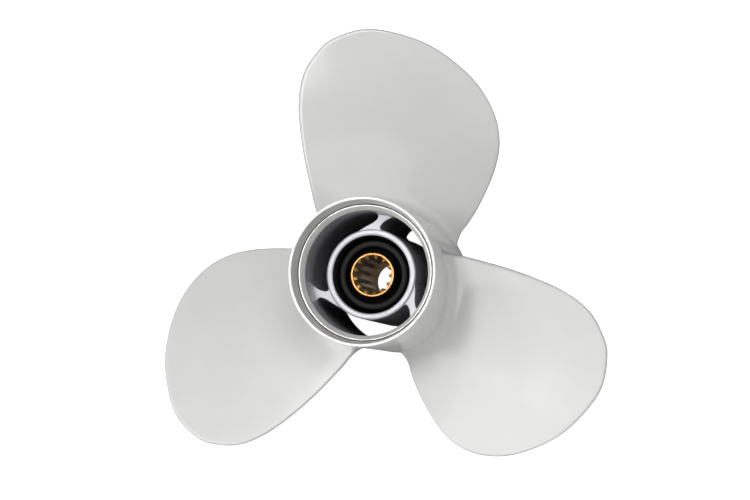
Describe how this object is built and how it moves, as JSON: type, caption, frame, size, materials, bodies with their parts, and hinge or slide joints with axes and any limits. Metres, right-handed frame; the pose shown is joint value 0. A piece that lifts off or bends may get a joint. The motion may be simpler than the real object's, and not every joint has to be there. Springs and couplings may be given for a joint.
{
  "type": "outboard boat propeller",
  "caption": "White three-bladed boat propeller with a hollow exhaust hub, a rubber-mounted splined brass sleeve and right-hand helical blades.",
  "frame": {"origin": "on the propeller shaft's axis, in the plane of the outer barrel's forward rim, on which the propeller stands", "axes": "+Z along the shaft pointing aft, where the exhaust mouth opens; the first blade points along +Y; +X to its right seen from aft"},
  "size_m": [0.2698, 0.2525, 0.113],
  "materials": {
    "white_paint": "warm light grey-white gloss paint with a faint orange peel",
    "machined_aluminium": "satin, turned aft faces, dark cast walls inside",
    "black_rubber": "matt moulded black",
    "brass": "bright rim, darker broached splines"
  },
  "bodies": {
    "root": {"outer_barrel": "white_paint", "blade_1": "white_paint", "blade_2": "white_paint", "blade_3": "white_paint", "inner_barrel": "machined_aluminium", "rib_1": "machined_aluminium", "rib_2": "machined_aluminium", "rib_3": "machined_aluminium", "rubber_bushing": "black_rubber", "splined_sleeve": "brass"}
  },
  "joints": []
}
